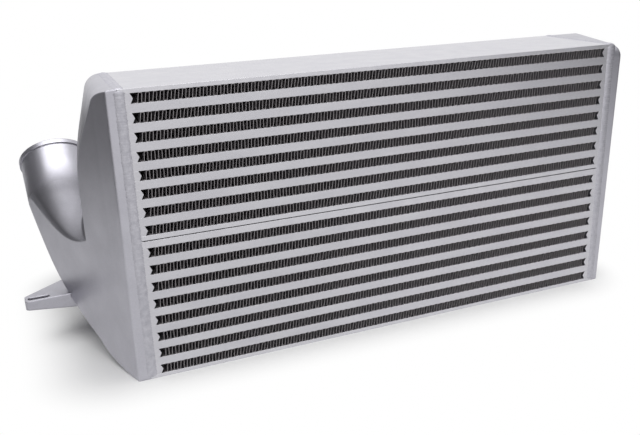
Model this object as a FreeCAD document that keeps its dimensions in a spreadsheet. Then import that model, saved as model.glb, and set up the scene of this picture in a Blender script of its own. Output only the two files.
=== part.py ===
import FreeCAD, Part
import math
import os
import Sketcher

# Bar and plate intercooler with a stepped core. Two brazed core blocks of different depth
# stand one on the other, and a cast end tank is welded on at each side.
# Frame: +X along the core, -Y towards the incoming air, +Z up. The origin is the centre
# of the core's bottom face. Lengths are in millimetres, angles in degrees.

doc = FreeCAD.newDocument("intercooler")
sheet = doc.addObject("Spreadsheet::Sheet", "sizes")

SIZES = [
    # core
    ("fin_length", 500.0),
    ("bar_length", 10.0),
    ("nose_length", 2.3),
    ("depth_upper", 108.0),
    ("depth_lower", 140.0),
    ("rows_upper", 8),
    ("rows_lower", 8),
    ("fin_height", 9.05),
    ("fin_period", 25.0),
    ("fin_sheet", 0.8),
    ("fin_clearance", 0.3),
    ("tube_height", 7.88),
    ("tube_sheet", 0.8),
    ("tube_bar", 7.0),
    ("turb_period", 40.0),
    ("turb_sheet", 0.6),
    ("plate_top", 3.9),
    ("plate_mid_upper", 4.5),
    ("block_gap", 0.9),
    ("plate_mid_lower", 6.6),
    ("plate_base", 3.8),
    # end tanks
    ("tank_wall", 4.0),
    ("flare_angle", 21.0),
    ("lip_radius", 2.5),
    ("left_lip", 11.6),
    ("left_lean_angle", 0.25),
    ("left_width", 37.6),
    ("left_shoulder", 17.1),
    ("left_shoulder_drop", 77.5),
    ("left_shoulder_radius", 16.0),
    ("left_flank_radius", 250.0),
    ("left_foot_radius", 28.0),
    ("left_step_radius", 22.0),
    ("left_taper_start", 60.0),
    ("left_taper", 3.5),
    ("right_lip", 8.2),
    ("right_lean_angle", 1.1),
    ("right_edge_radius", 14.0),
    # elbow pipes
    ("pipe_radius", 36.0),
    ("pipe_rise_angle", 42.0),
    ("pipe_turn_angle", 3.0),
    ("pipe_straight", 52.0),
    ("mouth_side", 48.8),
    ("mouth_back", 230.0),
    ("mouth_height", 168.5),
    ("pipe_flat", 0.5),
    ("bead_width", 5.0),
    ("bead_height", 1.3),
    ("duct_start", 62.0),
    ("duct_side", 27.5),
    ("duct_level", 72.2),
    ("duct_width", 22.5),
    ("duct_height", 54.8),
    ("duct_radius", 18.0),
    ("bend_back", 130.0),
    ("bend_side", 37.0),
    ("bend_level", 91.0),
    ("bend_rise_angle", 26.0),
    ("bend_width", 30.0),
    ("bend_height", 35.0),
    ("bend_radius", 29.0),
    ("bend_foot_radius", 16.0),
    # welds
    ("weld_width", 6.2),
    ("weld_height", 1.3),
    # mounting ears
    ("ear_inset", 26.0),
    ("ear_skew", 4.0),
    ("ear_level", 52.0),
    ("ear_side", 101.5),
    ("ear_length", 66.0),
    ("ear_root", 62.0),
    ("ear_tip", 14.0),
    ("ear_thick", 18.0),
    ("ear_tip_thick", 8.8),
    ("ear_radius", 3.5),
    ("slot_length", 21.5),
    ("slot_width", 6.5),
    ("slot_inset", 3.0),
]
for number, (alias, value) in enumerate(SIZES, start=1):
    sheet.set("A%d" % number, alias)
    sheet.set("B%d" % number, str(value))
    sheet.setAlias("B%d" % number, alias)
doc.recompute()


def size(alias):
    return float(sheet.get(alias))


# Levels and stations that several pieces share.
fin_height = size("fin_height")
tube_height = size("tube_height")
pitch = fin_height + tube_height
half_fins = size("fin_length") / 2
half_core = half_fins + size("bar_length")
rows_upper = int(size("rows_upper"))
rows_lower = int(size("rows_lower"))
front = -size("depth_lower") / 2
lower_start = size("plate_base")
lower_end = lower_start + rows_lower * pitch - tube_height
split = lower_end + size("plate_mid_lower")
upper_base = split + size("block_gap")
upper_start = upper_base + size("plate_mid_upper")
upper_end = upper_start + rows_upper * pitch - tube_height
core_top = upper_end + size("plate_top")

BLOCKS = (
    ("upper", upper_start, rows_upper, size("depth_upper")),
    ("lower", lower_start, rows_lower, size("depth_lower")),
)
SIDES = (("left", -1), ("right", 1))
nodes = []


def keep(obj, label):
    obj.Label = label
    nodes.append(obj)
    return obj


def at(x, y, z):
    return FreeCAD.Placement(FreeCAD.Vector(x, y, z), FreeCAD.Rotation())


def new_sketch(body, name, role, offset=None):
    sketch = body.newObject("Sketcher::SketchObject", name)
    for plane in body.Origin.OriginFeatures:
        if plane.Role == role:
            sketch.AttachmentSupport = (plane, "")
    sketch.MapMode = "FlatFace"
    if offset is not None:
        sketch.AttachmentOffset = offset
    return sketch


# A closed outline with straight sides and round corners. Each corner is (x, y, radius).
# The outline is put in anticlockwise order first, and each end is joined to the next.
def draw_outline(sketch, corners):
    corners = list(corners)
    count = len(corners)
    area = 0.0
    for i in range(count):
        area += corners[i - 1][0] * corners[i][1] - corners[i][0] * corners[i - 1][1]
    if area < 0:
        corners.reverse()
    starts = []
    middles = []
    ends = []
    for i in range(count):
        here = FreeCAD.Vector(corners[i][0], corners[i][1], 0)
        to_before = (FreeCAD.Vector(corners[i - 1][0], corners[i - 1][1], 0) - here).normalize()
        ahead = corners[(i + 1) % count]
        to_ahead = (FreeCAD.Vector(ahead[0], ahead[1], 0) - here).normalize()
        radius = corners[i][2]
        half = to_before.getAngle(to_ahead) / 2
        starts.append(here + to_before * (radius / math.tan(half)))
        ends.append(here + to_ahead * (radius / math.tan(half)))
        middle = (to_before + to_ahead).normalize()
        middles.append(here + middle * (radius / math.sin(half) - radius))
    first = sketch.GeometryCount
    for i in range(count):
        if corners[i][2] > 0:
            sketch.addGeometry(Part.Arc(starts[i], middles[i], ends[i]), False)
        ahead = (i + 1) % count
        if (starts[ahead] - ends[i]).Length > 1e-6:
            sketch.addGeometry(Part.LineSegment(ends[i], starts[ahead]), False)
    last = sketch.GeometryCount - 1
    for i in range(first, last + 1):
        following = i + 1 if i < last else first
        sketch.addConstraint(Sketcher.Constraint("Coincident", i, 2, following, 1))


def draw_rectangle(sketch, low_x, low_y, high_x, high_y):
    draw_outline(sketch, [(low_x, low_y, 0), (high_x, low_y, 0), (high_x, high_y, 0), (low_x, high_y, 0)])


def add_pad(body, name, sketch, length, backwards=False):
    pad = body.newObject("PartDesign::Pad", name)
    pad.Profile = sketch
    if isinstance(length, str):
        pad.setExpression("Length", length)
    else:
        pad.Length = length
    pad.Reversed = backwards
    return pad


# Side plates: flat bars that close the top and bottom of each brazed block.
def add_plate(label, level, thickness, depth):
    plate = doc.addObject("Part::Box", label)
    plate.setExpression("Length", "sizes.fin_length + 2 * sizes.bar_length")
    plate.setExpression("Width", "sizes." + depth)
    plate.setExpression("Height", "sizes." + thickness)
    plate.Placement = at(-half_core, front, level)
    keep(plate, label)


add_plate("lower_base_plate", 0, "plate_base", "depth_lower")
add_plate("lower_top_plate", lower_end, "plate_mid_lower", "depth_lower")
add_plate("upper_base_plate", upper_base, "plate_mid_upper", "depth_upper")
add_plate("upper_top_plate", upper_end, "plate_top", "depth_upper")


# A strip of sheet folded to a zigzag that fills a given height, with its folds along +Y.
def corrugated_strip(length, height, period, thickness, depth):
    folds = max(2, int(round(length / period)))
    half_step = length / folds / 2
    line = []
    for i in range(2 * folds + 1):
        line.append((i * half_step - length / 2, (height - thickness) * (i % 2)))
    outline = [FreeCAD.Vector(x, 0, z) for x, z in line]
    outline += [FreeCAD.Vector(x, 0, z + thickness) for x, z in reversed(line)]
    outline.append(outline[0])
    return Part.Face(Part.makePolygon(outline)).extrude(FreeCAD.Vector(0, depth, 0))


# Fin rows: the outside air runs through them from front to back.
fin_run = 2 * (half_fins - size("nose_length") - size("fin_clearance"))
for block, start, rows, depth in BLOCKS:
    strip = corrugated_strip(fin_run, fin_height, size("fin_period"), size("fin_sheet"), depth)
    for row in range(rows):
        label = "%s_fins_%d" % (block, row + 1)
        fins = doc.addObject("Part::Feature", label)
        fins.Shape = strip
        fins.Placement = at(0, front, start + row * pitch)
        keep(fins, label)

# Charge-air tubes between the fin rows: a parting sheet above and below, and a long bar
# at the front and at the back, brazed into one flat tube that is open at both ends.
for block, start, rows, depth in BLOCKS:
    bar = size("tube_bar")
    skin = size("tube_sheet")
    for row in range(rows - 1):
        label = "%s_tube_%d" % (block, row + 1)
        body = doc.addObject("PartDesign::Body", label)
        section = new_sketch(body, label + "_section", "YZ_Plane")
        draw_rectangle(section, front, 0, front + depth, tube_height)
        draw_rectangle(section, front + bar, skin, front + depth - bar, tube_height - skin)
        pad = add_pad(body, label + "_run", section, "sizes.fin_length + 2 * sizes.bar_length")
        pad.SideType = "Symmetric"
        body.Placement = at(0, 0, start + fin_height + row * pitch)
        keep(body, label)

# Turbulators: inner fins of the charge-air tubes. Their folds run along X with the charge
# air, and they stop short of the tube's ends.
for block, start, rows, depth in BLOCKS:
    inside = tube_height - 2 * size("tube_sheet")
    across = depth - 2 * size("tube_bar") - 2 * size("fin_clearance")
    strip = corrugated_strip(across, inside, size("turb_period"), size("turb_sheet"), 2 * half_fins)
    strip.rotate(FreeCAD.Vector(0, 0, 0), FreeCAD.Vector(0, 0, 1), -90)
    strips = []
    for row in range(rows - 1):
        copy = strip.copy()
        level = start + fin_height + row * pitch + size("tube_sheet")
        copy.translate(FreeCAD.Vector(-half_fins, front + depth / 2, level))
        strips.append(copy)
    turbulators = doc.addObject("Part::Feature", block + "_turbulators")
    turbulators.Shape = Part.makeCompound(strips)
    keep(turbulators, block + "_turbulators")

# Closing bars: solid bars that shut the ends of the fin rows, with a pointed nose
# towards the fins.
for block, start, rows, depth in BLOCKS:
    for side, hand in SIDES:
        label = "%s_bars_%s" % (block, side)
        body = doc.addObject("PartDesign::Body", label)
        section = new_sketch(body, label + "_section", "XZ_Plane", at(0, 0, -front))
        nose = half_fins - size("nose_length")
        middle = start + fin_height / 2
        draw_outline(section, [
            (hand * half_core, start, 0),
            (hand * half_fins, start, 0),
            (hand * nose, middle, 0),
            (hand * half_fins, start + fin_height, 0),
            (hand * half_core, start + fin_height, 0),
        ])
        pad = add_pad(body, label + "_bar", section, "sizes.depth_" + block, True)
        doc.recompute()
        pattern = body.newObject("PartDesign::LinearPattern", label + "_rows")
        pattern.Originals = [pad]
        pattern.Direction = (section, ["V_Axis"])
        spread = "(sizes.fin_height + sizes.tube_height) * (sizes.rows_%s - 1)" % block
        pattern.setExpression("Length", spread)
        pattern.setExpression("Occurrences", "sizes.rows_" + block)
        body.Tip = pattern
        keep(body, label)

# End tanks. The outer wall flares outwards and backwards from a flat lip beside the weld.
# Behind it the tank runs into a duct that bends up and back, and turns from a tall
# rectangle into a round pipe with a rolled bead at its mouth.
flare = math.tan(math.radians(size("flare_angle")))
rise = math.radians(size("pipe_rise_angle"))
turn = math.radians(size("pipe_turn_angle"))
mouth = FreeCAD.Vector(half_core + size("mouth_side"), front + size("mouth_back"), size("mouth_height"))
pipe_out = FreeCAD.Vector(math.cos(rise) * math.sin(turn), math.cos(rise) * math.cos(turn), math.sin(rise))
pipe_foot = mouth - pipe_out * size("pipe_straight")
touch = 0.01


# A sketch frame at a point of the right-hand side, tipped up and turned outwards. The left
# side has the mirror image.
def section_frame(point, tip, swing, hand):
    swung = FreeCAD.Rotation(FreeCAD.Vector(0, 1, 0), -hand * swing)
    tipped = FreeCAD.Rotation(FreeCAD.Vector(1, 0, 0), tip)
    return FreeCAD.Placement(FreeCAD.Vector(hand * point.x, point.z, -point.y), swung.multiply(tipped))


# A rectangle about a frame's origin. Its corners are rounded, or cut straight across so that
# the cut touches the middle of the same rounding. The lower corners have a radius of their own.
def add_section(body, name, frame, half_width, half_height, radii, rounded):
    sketch = new_sketch(body, name, "XZ_Plane", frame)
    corners = []
    for across, up in ((-1, -1), (1, -1), (1, 1), (-1, 1)):
        radius = radii[0] if up < 0 else radii[1]
        back = radius * (2 - math.sqrt(2))
        if rounded:
            corners.append((across * half_width, up * half_height, radius))
            continue
        beside = (across * half_width, up * (half_height - back), 0)
        above = (across * (half_width - back), up * half_height, 0)
        corners.extend([beside, above] if across == up else [above, beside])
    draw_outline(sketch, corners)
    return sketch


def add_circle(body, name, frame, radius):
    sketch = new_sketch(body, name, "XZ_Plane", frame)
    ring = Part.Circle(FreeCAD.Vector(0, 0, 0), FreeCAD.Vector(0, 0, 1), radius)
    circle = sketch.addGeometry(ring, False)
    sketch.addConstraint(Sketcher.Constraint("Coincident", circle, 3, -1, 1))
    sketch.addConstraint(Sketcher.Constraint("Radius", circle, radius))
    return sketch


# The upright front edge of a tank's lip.
def lip_edge(ends, hand):
    in_front = max(abs(end.y - front) for end in ends) < touch
    upright = abs(ends[1].z - ends[0].z) > core_top / 2
    outside = min(hand * end.x for end in ends) > half_core + touch
    return in_front and upright and outside


# The slanting outer edge of a tank's flat top.
def top_edge(ends, hand):
    on_top = min(end.z for end in ends) > core_top - touch
    along = ends[1] - ends[0]
    return on_top and abs(along.y) > size("depth_upper") / 2 and hand * along.x * along.y > touch


# A fillet on the straight edges that a test picks out of a feature's shape.
def round_edges(feature, name, test, hand, radius):
    picked = []
    for number, edge in enumerate(feature.Shape.Edges, start=1):
        ends = [vertex.Point for vertex in edge.Vertexes]
        if len(ends) == 2 and test(ends, hand):
            picked.append("Edge%d" % number)
    rounding = feature.getParentGeoFeatureGroup().newObject("PartDesign::Fillet", name)
    rounding.Base = (feature, picked)
    rounding.Radius = radius
    doc.recompute()
    return rounding


# The form of one tank: its outside where inset is 0, or its cavity where inset is the wall.
def tank_form(name, side, hand, inset):
    body = doc.addObject("PartDesign::Body", name)
    hollow = inset > 0
    joint = half_core - inset * 2
    bottom = inset
    top = core_top - inset
    if hollow and hand > 0:
        # The ceiling stands back as far as the rounding of the edge above it.
        top = top - size("right_edge_radius") * (1 - math.cos(math.radians(45)))
    widest = half_core + size("left_width") - inset
    if hand > 0:
        widest = half_core + size("right_lip") + flare * size("depth_lower") + size("right_edge_radius")
    foot = max(size(side + "_foot_radius") - inset, 0) if hand < 0 else 0

    # Upper chamber. The left one has a sloping shoulder and narrows towards the back, the
    # right one has a flat top.
    frames = [at(0, 0, -front - inset)]
    narrowing = [0]
    depth = size("depth_upper") - 2 * inset
    if hand < 0:
        depth = size("left_taper_start") - inset
        frames.append(at(0, 0, -front - size("left_taper_start")))
        frames.append(at(0, 0, -front - size("depth_upper") + inset))
        narrowing = [0, 0, size("left_taper")]
    sections = []
    for number, (frame, narrow) in enumerate(zip(frames, narrowing)):
        corners = [(joint, top, 0), (joint, bottom, 0), (widest - narrow, bottom, foot)]
        if hand < 0:
            flank = core_top - size("left_shoulder_drop")
            corners.append((widest - narrow, flank, size("left_flank_radius")))
            shoulder = half_core + size("left_shoulder") - inset - narrow
            corners.append((shoulder, top, size("left_shoulder_radius") - inset))
        else:
            corners.append((widest, top, 0))
        section = new_sketch(body, "%s_section_%d" % (name, number), "XZ_Plane", frame)
        draw_outline(section, [(hand * x, z, r) for x, z, r in corners])
        sections.append(section)
    add_pad(body, name + "_upper", sections[0], depth, True)
    doc.recompute()
    if hand < 0:
        narrowed = body.newObject("PartDesign::AdditiveLoft", name + "_narrowed")
        narrowed.Profile = sections[1]
        narrowed.Sections = [sections[2]]
        narrowed.Ruled = True
        doc.recompute()

    # Lower chamber, as deep as the lower block. Where the left one runs on behind the upper
    # chamber, its upper corner is rounded.
    section = new_sketch(body, name + "_lower_section", "XZ_Plane", at(0, 0, -front - inset))
    ceiling = split - inset
    step = size("left_step_radius") - inset if hand < 0 else 0
    corners = [(joint, ceiling, 0), (joint, bottom, 0), (widest, bottom, foot), (widest, ceiling, step)]
    draw_outline(section, [(hand * x, z, r) for x, z, r in corners])
    add_pad(body, name + "_lower", section, size("depth_lower") - 2 * inset, True)

    # Duct: a loft from the chamber through the bend to the foot of the pipe.
    start = FreeCAD.Vector(half_core + size("duct_side"), front + size("duct_start"), size("duct_level"))
    bend = FreeCAD.Vector(half_core + size("bend_side"), front + size("bend_back"), size("bend_level"))
    round_size = size("pipe_radius") - inset
    start_frame = section_frame(start, 0, 0, hand)
    corner = size("duct_radius") - inset
    first = add_section(body, name + "_duct_start", start_frame, size("duct_width") - inset,
                        size("duct_height") - inset, (corner, corner), not hollow)
    bend_frame = section_frame(bend, size("bend_rise_angle"), 0, hand)
    corners = (size("bend_foot_radius") - inset, size("bend_radius") - inset)
    second = add_section(body, name + "_duct_bend", bend_frame, size("bend_width") - inset,
                         size("bend_height") - inset, corners, not hollow)
    # The last section is a circle but for short flats, so that all have the same sides.
    foot_frame = section_frame(pipe_foot, size("pipe_rise_angle"), size("pipe_turn_angle"), hand)
    corner = round_size - size("pipe_flat")
    third = add_section(body, name + "_duct_end", foot_frame, round_size, round_size,
                        (corner, corner), not hollow)
    doc.recompute()
    duct = body.newObject("PartDesign::AdditiveLoft", name + "_duct")
    duct.Profile = first
    duct.Sections = [second, third]
    duct.Ruled = False
    doc.recompute()

    # The cavity runs on past the end of the duct, so that it opens into the pipe.
    if hollow:
        ring = add_circle(body, name + "_opening_section", foot_frame, round_size)
        add_pad(body, name + "_opening", ring, inset, True)
        doc.recompute()

    # Flared outer wall: everything outside a leaning upright plane is cut away.
    lip = half_core + size(side + "_lip") - inset / math.cos(math.radians(size("flare_angle")))
    lean = FreeCAD.Rotation(FreeCAD.Vector(0, 1, 0), size(side + "_lean_angle"))
    far = size("mouth_back") + size("depth_lower")
    wide = lip + far * flare + 4 * size("pipe_radius")
    leaning = FreeCAD.Placement(FreeCAD.Vector(0, 0, 0), lean)
    wall = new_sketch(body, name + "_flare_section", "XY_Plane", leaning)
    ahead = inset + size("depth_lower") / 2
    draw_outline(wall, [
        (hand * (lip - ahead * flare), front - ahead, 0),
        (hand * wide, front - ahead, 0),
        (hand * wide, front + far, 0),
        (hand * (lip + far * flare), front + far, 0),
    ])
    cut = body.newObject("PartDesign::Pocket", name + "_flare")
    cut.Profile = wall
    cut.SideType = "Symmetric"
    cut.Length = 4 * core_top
    doc.recompute()
    if hollow:
        return body

    # Cast edges: the lip's upright edge, and on the right tank the edge of its flat top.
    cut = round_edges(cut, name + "_lip_round", lip_edge, hand, size("lip_radius"))
    if hand > 0:
        cut = round_edges(cut, name + "_edge_round", top_edge, hand, size("right_edge_radius"))
    return body


for side, hand in SIDES:
    outside = tank_form(side + "_form", side, hand, 0)
    cavity = tank_form(side + "_cavity", side, hand, size("tank_wall"))
    tank = doc.addObject("Part::Cut", side + "_tank")
    tank.Base = outside
    tank.Tool = cavity
    keep(tank, side + "_tank")

    # Outlet pipe: a straight tube seated on the end of the duct, with a rolled bead round
    # its mouth that holds the hose.
    label = side + "_pipe"
    body = doc.addObject("PartDesign::Body", label)
    outer = size("pipe_radius")
    foot_frame = section_frame(pipe_foot, size("pipe_rise_angle"), size("pipe_turn_angle"), hand)
    bead_base = mouth - pipe_out * size("bead_width")
    bead_frame = section_frame(bead_base, size("pipe_rise_angle"), size("pipe_turn_angle"), hand)
    ring = add_circle(body, label + "_section", foot_frame, outer)
    add_pad(body, label + "_wall", ring, "sizes.pipe_straight", True)
    doc.recompute()
    ring = add_circle(body, label + "_bead_section", bead_frame, outer + size("bead_height"))
    add_pad(body, label + "_bead", ring, "sizes.bead_width", True)
    doc.recompute()
    ring = add_circle(body, label + "_bore_section", foot_frame, outer - size("tank_wall"))
    bore = body.newObject("PartDesign::Pocket", label + "_bore")
    bore.Profile = ring
    bore.Type = "ThroughAll"
    bore.SideType = "Symmetric"
    doc.recompute()
    keep(body, label)

    # Weld bead: a low band over the joint between the tank and the core. It runs up the
    # front, over the top and down the back, and the underside is ground flush.
    label = side + "_weld"
    body = doc.addObject("PartDesign::Body", label)
    section = new_sketch(body, label + "_section", "YZ_Plane", at(0, 0, hand * half_core))
    back_lower = front + size("depth_lower")
    back_upper = front + size("depth_upper")
    proud = size("weld_height")
    draw_outline(section, [
        (front, 0, 0),
        (front, core_top, 0),
        (back_upper, core_top, 0),
        (back_upper, split, 0),
        (back_lower, split, 0),
        (back_lower, 0, 0),
        (back_lower + proud, 0, 0),
        (back_lower + proud, split + proud, 0),
        (back_upper + proud, split + proud, 0),
        (back_upper + proud, core_top + proud, 0),
        (front - proud, core_top + proud, 0),
        (front - proud, 0, 0),
    ])
    band = add_pad(body, label + "_band", section, "sizes.weld_width")
    band.SideType = "Symmetric"
    keep(body, label)

    # Mounting ear: a tapered tab on the flared wall with a slot near its tip. It is cut to
    # the tank's outside, so that it seats on it.
    label = side + "_ear"
    body = doc.addObject("PartDesign::Body", label + "_form")
    tip = half_core + size("ear_side")
    root = tip - size("ear_length")
    near = front + size("depth_lower") - size("ear_inset")
    plan = new_sketch(body, label + "_plan", "XY_Plane", at(0, 0, size("ear_level")))
    draw_outline(plan, [
        (hand * tip, near, size("ear_radius")),
        (hand * tip, near + size("ear_tip"), size("ear_radius")),
        (hand * root, near + size("ear_skew") + size("ear_root"), 0),
        (hand * root, near + size("ear_skew"), 0),
    ])
    add_pad(body, label + "_plate", plan, "sizes.ear_thick", True)
    under = new_sketch(body, label + "_under", "XZ_Plane")
    low_z = size("ear_level") - size("ear_thick")
    beyond = tip + size("ear_radius")
    draw_outline(under, [
        (hand * root, low_z, 0),
        (hand * root, low_z - size("ear_thick"), 0),
        (hand * beyond, low_z - size("ear_thick"), 0),
        (hand * beyond, size("ear_level") - size("ear_tip_thick"), 0),
    ])
    doc.recompute()
    taper = body.newObject("PartDesign::Pocket", label + "_taper")
    taper.Profile = under
    taper.SideType = "Symmetric"
    taper.Length = 4 * size("depth_lower")
    doc.recompute()
    slot = new_sketch(body, label + "_slot_section", "XY_Plane", at(0, 0, size("ear_level")))
    half_slot = size("slot_width") / 2
    slot_end = tip - size("slot_inset")
    slot_mid = near + size("ear_tip") / 2
    draw_outline(slot, [
        (hand * slot_end, slot_mid - half_slot, half_slot),
        (hand * slot_end, slot_mid + half_slot, half_slot),
        (hand * (slot_end - size("slot_length")), slot_mid + half_slot, half_slot),
        (hand * (slot_end - size("slot_length")), slot_mid - half_slot, half_slot),
    ])
    doc.recompute()
    opening = body.newObject("PartDesign::Pocket", label + "_slot")
    opening.Profile = slot
    opening.SideType = "Symmetric"
    opening.Length = 4 * size("ear_thick")
    doc.recompute()
    ear = doc.addObject("Part::Cut", label)
    ear.Base = body
    ear.Tool = outside
    keep(ear, label)

doc.recompute()
for obj in doc.Objects:
    if "Invalid" in obj.State or "Error" in obj.State:
        raise RuntimeError("%s did not compute: %s" % (obj.Label, obj.State))
for node in nodes:
    if node.Shape.isNull() or not node.Shape.isValid():
        raise RuntimeError("%s has no valid shape" % node.Label)
os.makedirs("parts", exist_ok=True)
for node in nodes:
    node.Shape.exportStep("parts/%s.step" % node.Label)
    print(node.Label, len(node.Shape.Solids), round(node.Shape.Volume, 1))
print(len(nodes), "nodes")
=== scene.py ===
import math

import bpy
from mathutils import Matrix, Vector


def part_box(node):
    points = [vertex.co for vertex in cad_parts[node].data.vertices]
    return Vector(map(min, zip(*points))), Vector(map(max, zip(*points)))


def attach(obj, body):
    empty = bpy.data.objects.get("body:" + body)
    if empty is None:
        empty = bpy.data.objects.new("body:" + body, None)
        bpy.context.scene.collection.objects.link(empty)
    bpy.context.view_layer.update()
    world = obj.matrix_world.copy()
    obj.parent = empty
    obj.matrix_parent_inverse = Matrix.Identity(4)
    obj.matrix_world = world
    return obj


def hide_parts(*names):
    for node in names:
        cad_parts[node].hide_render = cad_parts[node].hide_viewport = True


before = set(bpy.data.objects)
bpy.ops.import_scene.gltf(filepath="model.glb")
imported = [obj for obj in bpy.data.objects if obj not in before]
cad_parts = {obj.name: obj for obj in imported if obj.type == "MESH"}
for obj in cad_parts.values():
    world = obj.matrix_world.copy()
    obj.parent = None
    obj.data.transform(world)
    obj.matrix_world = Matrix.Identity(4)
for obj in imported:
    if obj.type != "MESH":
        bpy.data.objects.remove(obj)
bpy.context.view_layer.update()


# Core plates. Four flat aluminium plates close the two core blocks above and below. They are
# rolled, clad with brazing alloy on both sides and brazed to the core in a furnace.
MM = 0.001


def linear(code):
    """An sRGB hex colour as the linear RGBA that a shader takes."""
    parts = [int(code[i:i + 2], 16) / 255 for i in (1, 3, 5)]
    return [c / 12.92 if c <= 0.04045 else ((c + 0.055) / 1.055) ** 2.4 for c in parts] + [1.0]


def add(tree, kind, settings=None, links=None):
    """Adds a node. Settings name its properties or inputs, links join inputs to outputs."""
    node = tree.nodes.new(kind)
    for name, value in (settings or {}).items():
        if isinstance(name, str) and hasattr(node, name):
            setattr(node, name, value)
        else:
            node.inputs[name].default_value = value
    for name, source in (links or {}).items():
        tree.links.new(source, node.inputs[name])
    return node


def blank_material(name):
    """A new material with an empty tree, and that tree."""
    material = bpy.data.materials.new(name)
    material.use_nodes = True
    material.node_tree.nodes.clear()
    return material, material.node_tree


def satin_metal(name, colour, shade, roughness, spread, grain, relief, cloud, worn,
                stretch=(1, 1, 1)):
    """Satin aluminium. Clouds run from one colour to the other and move the roughness by the
    spread, and a fine grain lifts the face. In millimetres, grain and cloud are the sizes of
    their patterns, relief is the grain's height, and worn is the radius of worn corners. Real
    grain is near 0.2 mm, too fine to show in the render, so it is drawn about 4 times as coarse."""
    noise_low, noise_high = 0.3, 0.7    # noise seldom leaves this band
    material, tree = blank_material(name)
    place = add(tree, "ShaderNodeTexCoord")
    turned = add(tree, "ShaderNodeMapping", {"Scale": stretch}, {"Vector": place.outputs["Object"]})
    clouds = add(tree, "ShaderNodeTexNoise",
                 {"Scale": 1 / (cloud * MM), "Detail": 4.0, "Roughness": 0.6},
                 {"Vector": turned.outputs[0]})
    fine = add(tree, "ShaderNodeTexNoise",
               {"Scale": 1 / (grain * MM), "Detail": 2.0, "Roughness": 0.5},
               {"Vector": turned.outputs[0]})
    tint = add(tree, "ShaderNodeValToRGB", None, {"Fac": clouds.outputs["Fac"]})
    for stop, position, code in zip(tint.color_ramp.elements, (noise_low, noise_high),
                                    (shade, colour)):
        stop.position = position
        stop.color = linear(code)
    speckle = add(tree, "ShaderNodeMapRange",
                  {"From Min": noise_low, "From Max": noise_high, "To Min": 0.94, "To Max": 1.03},
                  {"Value": fine.outputs["Fac"]})
    mottled = add(tree, "ShaderNodeVectorMath", {"operation": "SCALE"},
                  {0: tint.outputs[0], "Scale": speckle.outputs[0]})
    dull = add(tree, "ShaderNodeMapRange",
               {"From Min": noise_low, "From Max": noise_high,
                "To Min": roughness + spread, "To Max": roughness - spread},
               {"Value": clouds.outputs["Fac"]})
    corner = add(tree, "ShaderNodeBevel", {"samples": 6, "Radius": worn * MM})
    bump = add(tree, "ShaderNodeBump", {"Strength": 0.5, "Distance": relief * MM},
               {"Height": fine.outputs["Fac"], "Normal": corner.outputs[0]})
    surface = add(tree, "ShaderNodeBsdfPrincipled", {"Metallic": 0.92},
                  {"Base Color": mottled.outputs[0], "Roughness": dull.outputs[0],
                   "Normal": bump.outputs[0]})
    add(tree, "ShaderNodeOutputMaterial", None, {"Surface": surface.outputs[0]})
    return material


def dress(material, *nodes):
    """Gives carried-over nodes their material."""
    for node in nodes:
        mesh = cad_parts[node].data
        mesh.materials.clear()
        mesh.materials.append(material)


# Rolled and clad sheet after brazing: a pale satin face with faint clouds where the alloy ran,
# and hardly any direction to its grain.
brazed_plate = satin_metal("brazed_aluminium_plate", "#D0CFD4", "#C9C8CE", roughness=0.40,
                           spread=0.04, grain=0.9, relief=0.05, cloud=18.0, worn=0.6)
dress(brazed_plate, "lower_base_plate", "lower_top_plate", "upper_base_plate", "upper_top_plate")


# Closing bars and charge-air tubes. The bars are extruded aluminium with a pointed nose towards
# the fins, sawn to length, and the tubes are folded from clad sheet. Both are brazed in with the
# plates. The die and the rolls leave them satin, with faint lines along their length.
drawn_bar = satin_metal("extruded_aluminium_bar", "#CAC9CE", "#C3C2C8", roughness=0.40,
                        spread=0.04, grain=0.7, relief=0.05, cloud=14.0, worn=0.4,
                        stretch=(0.25, 1, 1))
dress(drawn_bar, *[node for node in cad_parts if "_bars_" in node or "_tube_" in node])


# Turbulators. Thin folded sheets, brazed inside the tubes, that stir the charge air. The furnace
# leaves them dull and a darker grey. They lie out of sight inside the core.
furnace_dull = satin_metal("furnace_dulled_aluminium_sheet", "#8C8B90", "#77767B", roughness=0.6,
                           spread=0.05, grain=0.8, relief=0.05, cloud=9.0, worn=0.2)
dress(furnace_dull, "lower_turbulators", "upper_turbulators")


# Cooling fins. Each row is one strip of thin aluminium sheet, folded to and fro by a form
# roller and brazed between two tubes. The folds lean a little, unevenly, and the gaps between
# them fall into shade, so the rows read dark with fine lighter lines.
def placed(name, data):
    """A new object in the scene that shows this mesh, lamp or camera."""
    thing = bpy.data.objects.new(name, data)
    bpy.context.scene.collection.objects.link(thing)
    return thing


def socket_id(tree, name):
    """The identifier of a tree's named input."""
    return next(item.identifier for item in tree.interface.items_tree
                if item.item_type == "SOCKET" and item.in_out == "INPUT" and item.name == name)


def tree_with_inputs(name, inputs):
    """A geometry tree with named inputs, and its group input and output nodes."""
    tree = bpy.data.node_groups.new(name, "GeometryNodeTree")
    tree.interface.new_socket("Geometry", in_out="OUTPUT", socket_type="NodeSocketGeometry")
    for title, kind in inputs:
        tree.interface.new_socket(title, in_out="INPUT", socket_type="NodeSocket" + kind)
    return tree, tree.nodes.new("NodeGroupInput"), tree.nodes.new("NodeGroupOutput")


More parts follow.
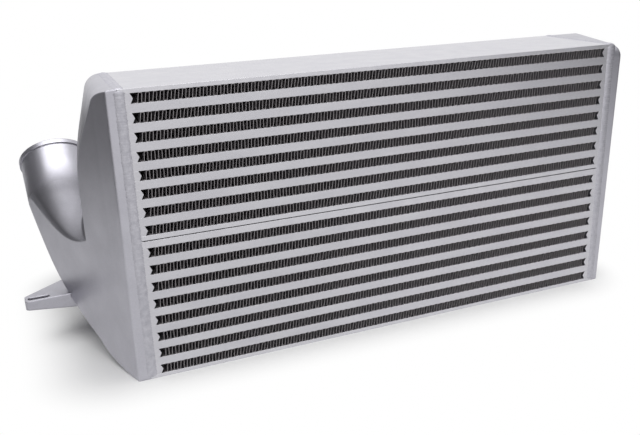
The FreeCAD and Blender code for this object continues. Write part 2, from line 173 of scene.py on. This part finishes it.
def grown(name, tree, values, smooth, path=()):
    """The plain mesh object that a geometry tree makes with these values, along a path of
    points if it takes one."""
    start = bpy.data.meshes.new(name + "_carrier")
    start.from_pydata(path, [(i, i + 1) for i in range(len(path) - 1)], [])
    carrier = placed(name + "_carrier", start)
    modifier = carrier.modifiers.new("grow", "NODES")
    modifier.node_group = tree
    for title, value in values.items():
        modifier[socket_id(tree, title)] = value
    ready = carrier.evaluated_get(bpy.context.evaluated_depsgraph_get())
    mesh = bpy.data.meshes.new_from_object(ready)
    carrier.modifiers.clear()
    bpy.data.objects.remove(carrier)
    mesh.name = name
    for face in mesh.polygons:
        face.use_smooth = smooth
    return placed(name, mesh)


fins, given, made = tree_with_inputs("folded_fin_rows", [
    ("Rows", "Int"), ("Row Pitch", "Float"), ("Folds", "Int"), ("Fold Pitch", "Float"),
    ("Flat", "Float"), ("Height", "Float"), ("Depth", "Float"), ("Sheet", "Float"),
    ("Corner", "Vector"), ("Wander", "Float"), ("Lean", "Float"), ("Lean Length", "Float"),
    ("Crest Radius", "Float"), ("Seed", "Int"), ("Material", "Material")])
# Two points stand on each crest and trough of one row, a flat apart.
ends = add(fins, "ShaderNodeMath", {"operation": "MULTIPLY", 1: 2.0}, {0: given.outputs["Folds"]})
folds = add(fins, "GeometryNodeMeshLine", None, {"Count": ends.outputs[0]})
number = add(fins, "GeometryNodeInputIndex")
halved = add(fins, "ShaderNodeMath", {"operation": "DIVIDE", 1: 2.0}, {0: number.outputs[0]})
fold = add(fins, "ShaderNodeMath", {"operation": "FLOOR"}, {0: halved.outputs[0]})
second = add(fins, "ShaderNodeMath", {"operation": "MODULO", 1: 2.0}, {0: number.outputs[0]})
parity = add(fins, "ShaderNodeMath", {"operation": "MODULO", 1: 2.0}, {0: fold.outputs[0]})
run = add(fins, "ShaderNodeMath", {"operation": "MULTIPLY"},
          {0: fold.outputs[0], 1: given.outputs["Fold Pitch"]})
along = add(fins, "ShaderNodeMath", {"operation": "MULTIPLY_ADD"},
            {0: second.outputs[0], 1: given.outputs["Flat"], 2: run.outputs[0]})
reach = add(fins, "ShaderNodeCombineXYZ", None, {"X": along.outputs[0]})
spot = add(fins, "ShaderNodeVectorMath", {"operation": "ADD"},
           {0: given.outputs["Corner"], 1: reach.outputs[0]})
laid_out = add(fins, "GeometryNodeSetPosition", None,
               {"Geometry": folds.outputs[0], "Position": spot.outputs[0]})
crest = add(fins, "GeometryNodeStoreNamedAttribute",
            {"data_type": "FLOAT", "domain": "POINT", "Name": "crest"},
            {"Geometry": laid_out.outputs[0], "Value": parity.outputs[0]})
# The row is copied up the block, and then its crests are lifted.
step_up = add(fins, "ShaderNodeCombineXYZ", None, {"Z": given.outputs["Row Pitch"]})
stack = add(fins, "GeometryNodeMeshLine", None,
            {"Count": given.outputs["Rows"], "Offset": step_up.outputs[0]})
rows = add(fins, "GeometryNodeInstanceOnPoints", None,
           {"Points": stack.outputs[0], "Instance": crest.outputs[0]})
stacked = add(fins, "GeometryNodeRealizeInstances", None, {"Geometry": rows.outputs[0]})
stored = add(fins, "GeometryNodeInputNamedAttribute", {"data_type": "FLOAT", "Name": "crest"})
lift = add(fins, "ShaderNodeMath", {"operation": "MULTIPLY"},
           {0: stored.outputs[0], 1: given.outputs["Height"]})
# Each fold of each row strays by itself, and stretches of folds lean together.
UPRIGHT = 0.2    # the noise value at which a fold stands upright, so most lean one way
minus = add(fins, "ShaderNodeMath", {"operation": "MULTIPLY", 1: -1.0},
            {0: given.outputs["Wander"]})
wander = add(fins, "FunctionNodeRandomValue", {"data_type": "FLOAT"},
             {2: minus.outputs[0], 3: given.outputs["Wander"], "ID": fold.outputs[0],
              "Seed": given.outputs["Seed"]})
often = add(fins, "ShaderNodeMath", {"operation": "DIVIDE", 0: 1.0},
            {1: given.outputs["Lean Length"]})
drift = add(fins, "ShaderNodeTexNoise", {"noise_dimensions": "4D", "Detail": 0.0},
            {"Scale": often.outputs[0], "W": given.outputs["Seed"]})
swing = add(fins, "ShaderNodeMath", {"operation": "SUBTRACT", 1: UPRIGHT}, {0: drift.outputs[0]})
tilt = add(fins, "ShaderNodeMath", {"operation": "MULTIPLY"},
           {0: swing.outputs[0], 1: given.outputs["Lean"]})
leaning = add(fins, "ShaderNodeMath", {"operation": "MULTIPLY_ADD"},
              {0: tilt.outputs[0], 1: stored.outputs[0], 2: wander.outputs[1]})
shift = add(fins, "ShaderNodeCombineXYZ", None, {"X": leaning.outputs[0], "Z": lift.outputs[0]})
moved = add(fins, "GeometryNodeSetPosition", None,
            {"Geometry": stacked.outputs[0], "Offset": shift.outputs[0]})
# The bends are rounded, and the line becomes a sheet as deep as the block.
line = add(fins, "GeometryNodeMeshToCurve", None, {"Mesh": moved.outputs[0]})
rounded = add(fins, "GeometryNodeFilletCurve", {"mode": "POLY", "Count": 3},
              {"Curve": line.outputs[0], "Radius": given.outputs["Crest Radius"]})
strip = add(fins, "GeometryNodeCurvePrimitiveQuadrilateral", None,
            {"Width": given.outputs["Depth"], "Height": given.outputs["Sheet"]})
upright = add(fins, "GeometryNodeSetCurveNormal", {"mode": "Z_UP"}, {"Curve": rounded.outputs[0]})
sheet = add(fins, "GeometryNodeCurveToMesh", {"Fill Caps": True},
            {"Curve": upright.outputs[0], "Profile Curve": strip.outputs[0]})
whole = add(fins, "GeometryNodeRealizeInstances", None, {"Geometry": sheet.outputs[0]})
painted = add(fins, "GeometryNodeSetMaterial", None,
              {"Geometry": whole.outputs[0], "Material": given.outputs["Material"]})
fins.links.new(painted.outputs[0], made.inputs[0])


def first_node(tree, kind):
    """The first node of a kind in a tree."""
    return next(node for node in tree.nodes if node.bl_idname == kind)


def scale_colour(tree, factor):
    """Multiplies the base colour of a metal by a factor that varies over its surface."""
    base = first_node(tree, "ShaderNodeBsdfPrincipled").inputs["Base Color"]
    scaled = add(tree, "ShaderNodeVectorMath", {"operation": "SCALE"},
                 {0: base.links[0].from_socket, "Scale": factor})
    tree.links.new(scaled.outputs[0], base)


# Thin sheet out of the furnace: frosted grey and rough. Its colour is lightened as painted light,
# most on its faces, which show deep in the shaded gaps, and less on its sheared front edge.
fin_sheet = satin_metal("furnace_grey_fin_sheet", "#A8A4A7", "#989497", roughness=0.55,
                        spread=0.05, grain=0.8, relief=0.04, cloud=7.0, worn=0.05)
# Painted light: the sheet's colour is scaled up by these factors, more where it faces aside than
# where it faces the front.
FACE_PAINTED_LIGHT, EDGE_PAINTED_LIGHT = 1.25, 1.08
ASIDE, FORWARD = 0.6, 0.9    # how far a face or an edge is turned to the front
sheet_tree = fin_sheet.node_tree
facing = add(sheet_tree, "ShaderNodeNewGeometry")
turned = add(sheet_tree, "ShaderNodeSeparateXYZ", None, {0: facing.outputs["True Normal"]})
sheared = add(sheet_tree, "ShaderNodeMath", {"operation": "ABSOLUTE"}, {0: turned.outputs["Y"]})
painted_light_by_facing = add(sheet_tree, "ShaderNodeMapRange",
              {"From Min": ASIDE, "From Max": FORWARD, "To Min": FACE_PAINTED_LIGHT, "To Max": EDGE_PAINTED_LIGHT},
              {"Value": sheared.outputs[0]})
scale_colour(sheet_tree, painted_light_by_facing.outputs[0])

FOLD_PITCH = 3.13 * MM
SHEET = 0.40 * MM    # real sheet is thinner, but its edge wouldn't show in the render
for block, seed in (("upper", 3), ("lower", 8)):
    fin_nodes = [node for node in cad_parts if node.startswith(block + "_fins_")]
    low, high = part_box(block + "_fins_1")
    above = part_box(block + "_fins_2")[0]
    folds_in_row = int((high.x - low.x) / FOLD_PITCH)
    rows_piece = grown(block + "_folded_fins", fins, {
        "Rows": len(fin_nodes),
        "Row Pitch": above.z - low.z,
        "Folds": folds_in_row,
        "Fold Pitch": (high.x - low.x - 2 * SHEET) / folds_in_row,
        "Flat": 3.0 * MM,
        "Height": high.z - low.z - SHEET,
        "Depth": high.y - low.y,
        "Sheet": SHEET,
        "Corner": (low.x + SHEET, (low.y + high.y) / 2, low.z + SHEET / 2),
        "Wander": 0.13 * MM,
        "Lean": 3.0 * MM,
        "Lean Length": 60 * MM,
        "Crest Radius": 0.9 * MM,
        "Seed": seed,
        "Material": fin_sheet,
    }, False)
    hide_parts(*fin_nodes)
    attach(rows_piece, "root")


# End tanks with their elbows. Each is one aluminium casting, poured in sand and bead blasted,
# and welded over the core's end. Blasting leaves the face an even, fine-grained satin, and
# rounds its edges.
CAST_WORN = 2.2
cast_metal = satin_metal("bead_blasted_cast_aluminium", "#BBBAC2", "#B4B3BB", roughness=0.38,
                         spread=0.03, grain=0.9, relief=0.10, cloud=30.0, worn=CAST_WORN)
dress(cast_metal, "left_tank", "right_tank")

# The elbow grows out of the flat flared wall over a wide blend. Near the wall's plane the
# surface is shaded as if it turned into the wall, but not on the lip, at the foot or on top.
FLARE = math.radians(21)
LIP_EDGE = 271.6 * MM
BLEND = 7 * MM
SUNK_BLEND = -0.3 * BLEND
LIP_Y, FLANK_Y = -50 * MM, -20 * MM
REAR_Y, FOOT_Y = 70 * MM, 112 * MM
SHOULDER_Z, TOP_Z = 215 * MM, 275 * MM


def place_on_side(tree):
    """Object coordinates in their parts, and how far out a point is to the left or right."""
    spot = add(tree, "ShaderNodeTexCoord")
    axes = add(tree, "ShaderNodeSeparateXYZ", None, {0: spot.outputs["Object"]})
    return axes, add(tree, "ShaderNodeMath", {"operation": "ABSOLUTE"}, {0: axes.outputs["X"]})


cast_tree = cast_metal.node_tree
core_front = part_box("upper_top_plate")[0].y
axes, aside = place_on_side(cast_tree)
hand = add(cast_tree, "ShaderNodeMath", {"operation": "SIGN"}, {0: axes.outputs["X"]})
plane = add(cast_tree, "ShaderNodeMath",
            {"operation": "MULTIPLY_ADD", 1: math.tan(FLARE),
             2: LIP_EDGE - core_front * math.tan(FLARE)}, {0: axes.outputs["Y"]})
inside = add(cast_tree, "ShaderNodeMath", {"operation": "SUBTRACT"},
             {0: plane.outputs[0], 1: aside.outputs[0]})
off_wall = add(cast_tree, "ShaderNodeMapRange",
               {"interpolation_type": "SMOOTHSTEP", "From Min": SUNK_BLEND, "From Max": BLEND},
               {"Value": inside.outputs[0]})
on_lip = add(cast_tree, "ShaderNodeMapRange",
             {"interpolation_type": "SMOOTHSTEP", "From Min": LIP_Y, "From Max": FLANK_Y,
              "To Min": 1.0, "To Max": 0.0}, {"Value": axes.outputs["Y"]})
at_foot = add(cast_tree, "ShaderNodeMapRange",
              {"interpolation_type": "SMOOTHSTEP", "From Min": REAR_Y, "From Max": FOOT_Y},
              {"Value": axes.outputs["Y"]})
on_top = add(cast_tree, "ShaderNodeMapRange",
             {"interpolation_type": "SMOOTHSTEP", "From Min": SHOULDER_Z, "From Max": TOP_Z},
             {"Value": axes.outputs["Z"]})
behind = add(cast_tree, "ShaderNodeMath", {"operation": "MAXIMUM"},
             {0: on_top.outputs[0], 1: at_foot.outputs[0]})
on_edge = add(cast_tree, "ShaderNodeMath", {"operation": "MAXIMUM"},
              {0: on_lip.outputs[0], 1: behind.outputs[0]})
own_shape = add(cast_tree, "ShaderNodeMath", {"operation": "MAXIMUM"},
                {0: off_wall.outputs[0], 1: on_edge.outputs[0]})
outwards = add(cast_tree, "ShaderNodeMath", {"operation": "MULTIPLY", 1: math.cos(FLARE)},
               {0: hand.outputs[0]})
wall_normal = add(cast_tree, "ShaderNodeCombineXYZ", {"Y": -math.sin(FLARE)},
                  {"X": outwards.outputs[0]})
blended = add(cast_tree, "ShaderNodeMix", {"data_type": "VECTOR"},
              {0: own_shape.outputs[0], 4: wall_normal.outputs[0],
               5: first_node(cast_tree, "ShaderNodeBevel").outputs[0]})
flowing = add(cast_tree, "ShaderNodeVectorMath", {"operation": "NORMALIZE"},
              {0: blended.outputs[1]})
cast_tree.links.new(flowing.outputs[0], first_node(cast_tree, "ShaderNodeBump").inputs["Normal"])


# Outlet pipes. Short straight aluminium tubes, welded on the ends of the elbows, with a rolled
# bead round the mouth that keeps the hose on. Drawn tube has a flatter grain than the castings,
# so its satin is smoother.
TUBE_WORN = 0.8
spun_tube = satin_metal("satin_aluminium_tube", "#B3B2BA", "#ACABB3", roughness=0.40,
                        spread=0.03, grain=0.8, relief=0.05, cloud=24.0, worn=TUBE_WORN)
dress(spun_tube, "left_pipe", "right_pipe")

# The seam between the elbow and the pipe is dressed flush, so no edge is worn round there. From a
# little above the seam down the elbow, the colour is darkened as painted shade, and the surface is
# rougher.
RISE = math.radians(42)
TURN = math.radians(3)
FLUSH, ROUNDED = 2 * MM, 6 * MM         # distances to either side of the seam
SHADED, SHADE_ENDS = -10 * MM, 25 * MM     # distances beyond the seam at which the painted shade is full and at which it ends
PAINTED_SHADE_TINT = 0.5
SHADED_ROUGHER = 0.35
outlet = Vector((math.cos(RISE) * math.sin(TURN), math.cos(RISE) * math.cos(TURN),
                 math.sin(RISE)))
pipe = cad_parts["right_pipe"]
seam = min(outlet.dot(pipe.matrix_world @ corner.co) for corner in pipe.data.vertices)
for metal, worn in ((cast_metal, CAST_WORN), (spun_tube, TUBE_WORN)):
    tree = metal.node_tree
    axes, aside = place_on_side(tree)
    mirrored = add(tree, "ShaderNodeCombineXYZ", None,
                   {"X": aside.outputs[0], "Y": axes.outputs["Y"], "Z": axes.outputs["Z"]})
    level = add(tree, "ShaderNodeVectorMath", {"operation": "DOT_PRODUCT", 1: outlet},
                {0: mirrored.outputs[0]})
    beyond = add(tree, "ShaderNodeMath", {"operation": "SUBTRACT", 1: seam},
                 {0: level.outputs["Value"]})
    apart = add(tree, "ShaderNodeMath", {"operation": "ABSOLUTE"}, {0: beyond.outputs[0]})
    radius = add(tree, "ShaderNodeMapRange",
                 {"From Min": FLUSH, "From Max": ROUNDED, "To Min": 0.0, "To Max": worn * MM},
                 {"Value": apart.outputs[0]})
    tree.links.new(radius.outputs[0], first_node(tree, "ShaderNodeBevel").inputs["Radius"])
    # Painted shade: towards the seam and below it the colour is scaled down to half.
    seam_shade = add(tree, "ShaderNodeMapRange",
                 {"interpolation_type": "SMOOTHSTEP", "From Min": SHADED, "From Max": SHADE_ENDS,
                  "To Min": PAINTED_SHADE_TINT, "To Max": 1.0}, {"Value": beyond.outputs[0]})
    painted_shade_factor = seam_shade.outputs[0]
    if metal is cast_metal:
        # The painted shade is kept off the tank's wall, lip and top.
        on_wall = add(tree, "ShaderNodeMapRange",
                      {"interpolation_type": "SMOOTHSTEP", "From Min": 0.0, "From Max": BLEND,
                       "To Min": 1.0, "To Max": 0.0}, {"Value": inside.outputs[0]})
        on_shell = add(tree, "ShaderNodeMath", {"operation": "MAXIMUM"},
                       {0: on_lip.outputs[0], 1: on_top.outputs[0]})
        on_tank = add(tree, "ShaderNodeMath", {"operation": "MAXIMUM"},
                      {0: on_wall.outputs[0], 1: on_shell.outputs[0]})
        either = add(tree, "ShaderNodeMath", {"operation": "MAXIMUM"},
                     {0: on_tank.outputs[0], 1: painted_shade_factor})
        painted_shade_factor = either.outputs[0]
    # The painted shade darkens the base colour here, and where it is deeper the surface is rougher.
    scale_colour(tree, painted_shade_factor)
    dull = first_node(tree, "ShaderNodeBsdfPrincipled").inputs["Roughness"]
    painted_shade_share = add(tree, "ShaderNodeMath", {"operation": "SUBTRACT", 0: 1.0}, {1: painted_shade_factor})
    rougher = add(tree, "ShaderNodeMath", {"operation": "MULTIPLY_ADD", 1: SHADED_ROUGHER},
                  {0: painted_shade_share.outputs[0], 2: dull.links[0].from_socket})
    tree.links.new(rougher.outputs[0], dull)


# Mounting ears. Tapered cast tabs on the tanks' outer walls, each with one slot for a bolt.
# They are blasted with the tanks, so they have the same satin, and corners as round.
cast_tab = satin_metal("cast_mounting_tab", "#BBBAC2", "#B4B3BB", roughness=0.38,
                       spread=0.04, grain=0.9, relief=0.10, cloud=20.0, worn=CAST_WORN)
dress(cast_tab, "left_ear", "right_ear")


# Weld beads. A hand-laid bead joins each tank to the core up the front, over the top and down
# the back. Each dab of the rod freezes into a small scale that laps over the one before, so the
# bead is a row of even ripples.
beads, given, made = tree_with_inputs("rippled_weld_bead", [
    ("Path", "Geometry"), ("Turn Radius", "Float"), ("Spacing", "Float"), ("Dab Size", "Vector"),
    ("Tilt", "Vector"), ("Uneven", "Float"), ("Seed", "Int"), ("Material", "Material")])
run = add(beads, "GeometryNodeMeshToCurve", None, {"Mesh": given.outputs["Path"]})
turned = add(beads, "GeometryNodeFilletCurve", {"mode": "POLY", "Count": 4},
             {"Curve": run.outputs[0], "Radius": given.outputs["Turn Radius"]})
stations = add(beads, "GeometryNodeResampleCurve", {"mode": "LENGTH"},
               {"Curve": turned.outputs[0], "Length": given.outputs["Spacing"]})
# Each dab stands square to the run, and tips over the one before it.
heading = add(beads, "GeometryNodeInputTangent")
outward = add(beads, "ShaderNodeVectorMath", {"operation": "CROSS_PRODUCT", 0: (1, 0, 0)},
              {1: heading.outputs[0]})
stood = add(beads, "FunctionNodeAlignRotationToVector", {"axis": "Z"},
            {"Vector": outward.outputs[0]})
faced = add(beads, "FunctionNodeAlignRotationToVector", {"axis": "Y", "pivot_axis": "Z"},
            {"Rotation": stood.outputs[0], "Vector": heading.outputs[0]})
tilt = add(beads, "FunctionNodeEulerToRotation", None, {"Euler": given.outputs["Tilt"]})
lapped = add(beads, "FunctionNodeRotateRotation", {"rotation_space": "LOCAL"},
             {"Rotation": faced.outputs[0], "Rotate By": tilt.outputs[0]})
smaller = add(beads, "ShaderNodeMath", {"operation": "SUBTRACT", 0: 1.0},
              {1: given.outputs["Uneven"]})
swell = add(beads, "FunctionNodeRandomValue", {"data_type": "FLOAT"},
            {2: smaller.outputs[0], "Seed": given.outputs["Seed"]})
dab_scale = add(beads, "ShaderNodeVectorMath", {"operation": "SCALE"},
                {0: given.outputs["Dab Size"], "Scale": swell.outputs[1]})
dab = add(beads, "GeometryNodeMeshUVSphere", {"Segments": 10, "Rings": 6, "Radius": 1.0})
dabs = add(beads, "GeometryNodeInstanceOnPoints", None,
           {"Points": stations.outputs[0], "Instance": dab.outputs[0],
            "Rotation": lapped.outputs[0], "Scale": dab_scale.outputs[0]})
whole = add(beads, "GeometryNodeRealizeInstances", None, {"Geometry": dabs.outputs[0]})
painted = add(beads, "GeometryNodeSetMaterial", None,
              {"Geometry": whole.outputs[0], "Material": given.outputs["Material"]})
beads.links.new(painted.outputs[0], made.inputs[0])

# Filler metal that has only cooled, neither blasted nor brushed: a little brighter than the
# castings and rougher.
weld_metal = satin_metal("bright_weld_bead", "#C0BFC6", "#B2B1B9", roughness=0.52,
                         spread=0.06, grain=0.8, relief=0.05, cloud=5.0, worn=0.1)
DAB_WIDTH, DAB_LENGTH, DAB_HEIGHT = 7.5 * MM, 4.6 * MM, 3.0 * MM
SUNK = 2.1 * MM
OVER_CORE = 0.995    # the share of the seam's distance out at which the bead runs
upper_high, lower_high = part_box("upper_top_plate")[1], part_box("lower_top_plate")[1]
front, top, step = core_front + SUNK, upper_high.z - SUNK, lower_high.z - SUNK
back_above, back_below = upper_high.y - SUNK, lower_high.y - SUNK
for side, seed in (("left", 5), ("right", 11)):
    low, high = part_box(side + "_weld")
    joint = (low.x + high.x) / 2 * OVER_CORE
    bead = grown(side + "_weld_bead", beads, {
        "Turn Radius": 1.5 * MM,
        "Spacing": 2.4 * MM,
        "Dab Size": (DAB_WIDTH, DAB_LENGTH, DAB_HEIGHT),
        "Tilt": (math.radians(5), 0, 0),
        "Uneven": 0.05,
        "Seed": seed,
        "Material": weld_metal,
    }, True, [
        (joint, front, DAB_LENGTH), (joint, front, top), (joint, back_above, top),
        (joint, back_above, step), (joint, back_below, step), (joint, back_below, DAB_LENGTH)])
    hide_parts(side + "_weld")
    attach(bead, "root")


# Floor. A plain sheet of matt pale paper that runs out to white and keeps the part's shadow.
# The camera sees it white from a hand's breadth off the part. The metal sees it white in front
# of the part and far off, and in between as the light leaves it.
FLOOR_HALF = 30
SHADOW_CENTRE, SHADOW_HALF = (-0.03, 0.08, 0.0), (0.255, 0.11, 0.0)
SHADOW_FULL, SHADOW_GONE = 0.012, 0.092
NEAR, FAR = 0.9, 1.5
NEAR_SHARE = 0.3
PART_Y, FRONT_Y = -0.05, -0.08
floor_mesh = bpy.data.meshes.new("floor")
floor_mesh.from_pydata([(x * FLOOR_HALF, y * FLOOR_HALF, 0)
                        for x, y in ((-1, -1), (1, -1), (1, 1), (-1, 1))], [], [(0, 1, 2, 3)])
floor = placed("floor", floor_mesh)


def ray_kinds(tree):
    """The light path, and one where metal or glass shows the background."""
    ray = add(tree, "ShaderNodeLightPath")
    return ray, add(tree, "ShaderNodeMath", {"operation": "MAXIMUM"},
                    {0: ray.outputs["Is Glossy Ray"], 1: ray.outputs["Is Transmission Ray"]})


pale, paper_tree = blank_material("pale_paper_floor")
place = add(paper_tree, "ShaderNodeTexCoord")
ray, in_metal = ray_kinds(paper_tree)
# How far a point is outside the box that the shadow fills.
centred = add(paper_tree, "ShaderNodeVectorMath", {"operation": "SUBTRACT", 1: SHADOW_CENTRE},
              {0: place.outputs["Object"]})
folded = add(paper_tree, "ShaderNodeVectorMath", {"operation": "ABSOLUTE"},
             {0: centred.outputs[0]})
past = add(paper_tree, "ShaderNodeVectorMath", {"operation": "SUBTRACT", 1: SHADOW_HALF},
           {0: folded.outputs[0]})
outside = add(paper_tree, "ShaderNodeVectorMath", {"operation": "MAXIMUM", 1: (0.0, 0.0, 0.0)},
              {0: past.outputs[0]})
clear = add(paper_tree, "ShaderNodeVectorMath", {"operation": "LENGTH"}, {0: outside.outputs[0]})
unshaded = add(paper_tree, "ShaderNodeMapRange",
               {"interpolation_type": "SMOOTHSTEP", "From Min": SHADOW_FULL,
                "From Max": SHADOW_GONE, "To Min": 0.0, "To Max": 1.0},
               {"Value": clear.outputs["Value"]})
seen = add(paper_tree, "ShaderNodeMath", {"operation": "MULTIPLY"},
           {0: unshaded.outputs[0], 1: ray.outputs["Is Camera Ray"]})
away = add(paper_tree, "ShaderNodeVectorMath", {"operation": "LENGTH"},
           {0: place.outputs["Object"]})
far = add(paper_tree, "ShaderNodeMapRange",
          {"interpolation_type": "SMOOTHSTEP", "From Min": NEAR, "From Max": FAR,
           "To Min": NEAR_SHARE, "To Max": 1.0}, {"Value": away.outputs["Value"]})
across = add(paper_tree, "ShaderNodeSeparateXYZ", None, {0: place.outputs["Object"]})
before = add(paper_tree, "ShaderNodeMapRange",
             {"interpolation_type": "SMOOTHSTEP", "From Min": PART_Y, "From Max": FRONT_Y,
              "To Min": 0.0, "To Max": 1.0}, {"Value": across.outputs["Y"]})
either = add(paper_tree, "ShaderNodeMath", {"operation": "MAXIMUM"},
             {0: far.outputs[0], 1: before.outputs[0]})
reflected = add(paper_tree, "ShaderNodeMath", {"operation": "MULTIPLY"},
                {0: either.outputs[0], 1: in_metal.outputs[0]})
share = add(paper_tree, "ShaderNodeMath", {"operation": "MAXIMUM"},
            {0: seen.outputs[0], 1: reflected.outputs[0]})
matt = add(paper_tree, "ShaderNodeBsdfDiffuse", {"Color": linear("#FAFAFA")})
glow = add(paper_tree, "ShaderNodeEmission", {"Color": linear("#FFFFFF"), "Strength": 1.0})
paper = add(paper_tree, "ShaderNodeMixShader", None,
            {0: share.outputs[0], 1: matt.outputs[0], 2: glow.outputs[0]})
add(paper_tree, "ShaderNodeOutputMaterial", None, {"Surface": paper.outputs[0]})
floor_mesh.materials.append(pale)


# Light. One wide soft box overhead, a weak one in front, and an even room that the camera and
# the metal see as white. Two grey cards, to the left and to the front right, show only in the
# metal, where they shade the parts that face them.
world = bpy.data.worlds.new("pale_studio")
bpy.context.scene.world = world
world.use_nodes = True
world_tree = world.node_tree
world_tree.nodes.clear()
ray, in_metal = ray_kinds(world_tree)
shown = add(world_tree, "ShaderNodeMath", {"operation": "MAXIMUM"},
            {0: ray.outputs["Is Camera Ray"], 1: in_metal.outputs[0]})
room = add(world_tree, "ShaderNodeBackground", {"Color": linear("#FFFFFF"), "Strength": 0.1})
white = add(world_tree, "ShaderNodeBackground", {"Color": linear("#FFFFFF"), "Strength": 1.0})
blend = add(world_tree, "ShaderNodeMixShader", None,
            {0: shown.outputs[0], 1: room.outputs[0], 2: white.outputs[0]})
add(world_tree, "ShaderNodeOutputWorld", None, {"Surface": blend.outputs[0]})

# Matt grey card: an even mid grey with no gloss.
grey_card, card_tree = blank_material("grey_card")
flat = add(card_tree, "ShaderNodeBsdfDiffuse", {"Color": linear("#8C8C8E")})
add(card_tree, "ShaderNodeOutputMaterial", None, {"Surface": flat.outputs[0]})
CARD_HEIGHT = 0.9
for name, foot in (("left_card", [(-0.76, -0.8), (-0.80, 0.2), (-0.80, 0.75)]),
                   ("right_card", [(0.82, -1.05), (1.22, -0.5), (1.35, 0.3)])):
    card_mesh = bpy.data.meshes.new(name)
    card_mesh.from_pydata([(x, y, z) for z in (0, CARD_HEIGHT) for x, y in foot], [],
                          [(i, i + 1, i + 4, i + 3) for i in range(2)])
    card_mesh.materials.append(grey_card)
    card = placed(name, card_mesh)
    card.visible_camera = False
    card.visible_diffuse = False
    card.visible_shadow = False

for name, stand, aim, width, depth, power in (
        ("overhead_soft_box", (-0.40, -0.20, 1.7), (-0.40, -0.20, 0.0), 2.2, 1.4, 25.0),
        ("front_soft_box", (0.2, -1.9, 0.8), (0.0, 0.0, 0.1), 1.4, 1.0, 2.5)):
    lamp = bpy.data.lights.new(name, "AREA")
    lamp.shape = "RECTANGLE"
    lamp.size = width
    lamp.size_y = depth
    lamp.energy = power
    soft_box = placed(name, lamp)
    soft_box.location = stand
    soft_box.rotation_euler = (Vector(stand) - Vector(aim)).to_track_quat("Z", "Y").to_euler()


# Camera. It stands to the left of the part, a little above it, and looks along the core. Its
# place, lens and angles were fitted to the photograph.
camera = bpy.data.cameras.new("camera")
camera.sensor_width = 36.0
camera.lens = 42.677
swing, raised, roll = (math.radians(a) for a in (-21.6134, 19.2385, -1.9254))
back = Vector((math.sin(swing) * math.cos(raised), -math.cos(swing) * math.cos(raised),
               math.sin(raised)))
right = (-back).cross(Vector((0, 0, 1))).normalized()
up = right.cross(-back)
sideways = math.cos(roll) * right + math.sin(roll) * up
upwards = math.cos(roll) * up - math.sin(roll) * right
viewer = placed("camera", camera)
viewer.matrix_world = Matrix.Translation((-0.33906, -0.71741, 0.37677)) @ \
    Matrix((sideways, upwards, back)).transposed().to_4x4()
bpy.context.scene.camera = viewer
bpy.context.scene.view_settings.view_transform = "Standard"
